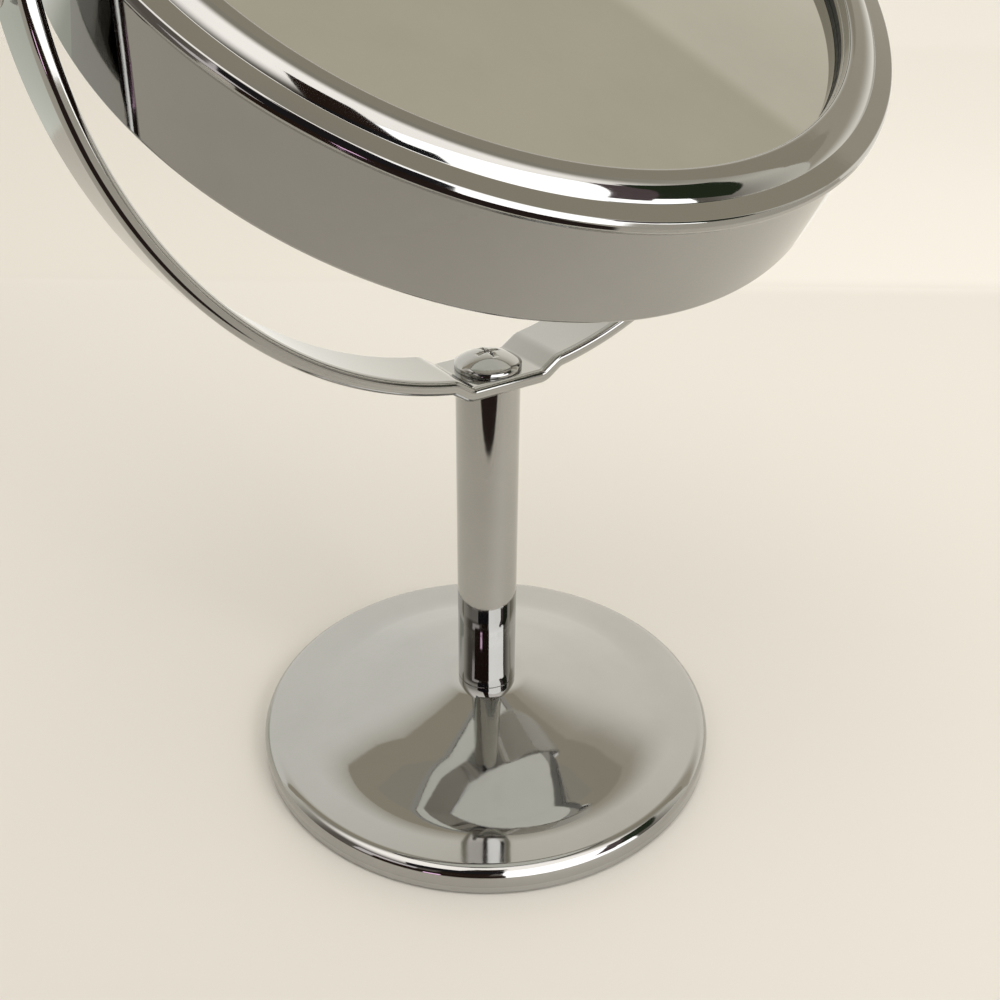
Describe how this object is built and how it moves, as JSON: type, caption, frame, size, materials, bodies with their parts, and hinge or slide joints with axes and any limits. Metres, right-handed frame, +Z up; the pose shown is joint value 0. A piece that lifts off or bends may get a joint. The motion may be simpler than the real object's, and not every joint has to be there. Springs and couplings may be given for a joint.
{
  "type": "tilting vanity mirror",
  "caption": "Round tilting vanity mirror in a U-shaped yoke on a short post and a weighted round foot, all chromed.",
  "frame": {"origin": "centre of the foot's underside, on the surface that it stands on", "axes": "+Z up along the post, +X along the tilt axis, -Y the side that the mirror faces at rest"},
  "size_m": [0.1634, 0.1282, 0.2116],
  "materials": {
    "chrome": "polished",
    "mirror_glass": "polished",
    "cast_weight": "as cast",
    "foam": "matte",
    "plain_steel": "zinc plated",
    "nylon": "matte"
  },
  "bodies": {
    "stand": {"foot_shell": "chrome", "foot_weight": "cast_weight", "foot_pad": "foam", "foot_screw": "plain_steel", "foot_washer": "plain_steel", "foot_spring_washer": "plain_steel", "post_tube": "chrome", "lower_insert": "plain_steel", "upper_insert": "plain_steel", "yoke": "chrome", "yoke_screw": "chrome", "nylon_washer_left": "nylon", "nylon_washer_right": "nylon", "wave_washer_left": "plain_steel", "wave_washer_right": "plain_steel"},
    "mirror_head": {"drum_housing": "chrome", "front_bezel": "chrome", "front_glass": "mirror_glass", "rear_glass": "mirror_glass", "front_foam_ring": "foam", "rear_foam_ring": "foam", "core_spacer": "nylon", "pivot_screw_left": "chrome", "pivot_screw_right": "chrome", "pivot_bush_left": "chrome", "pivot_bush_right": "chrome", "pivot_nut_left": "plain_steel", "pivot_nut_right": "plain_steel"}
  },
  "joints": [
    {"name": "head_tilt", "type": "hinge", "parent": "stand", "child": "mirror_head", "pos_m": [0, 0, 0.16663], "axis": [1, 0, 0], "continuous": true}
  ]
}
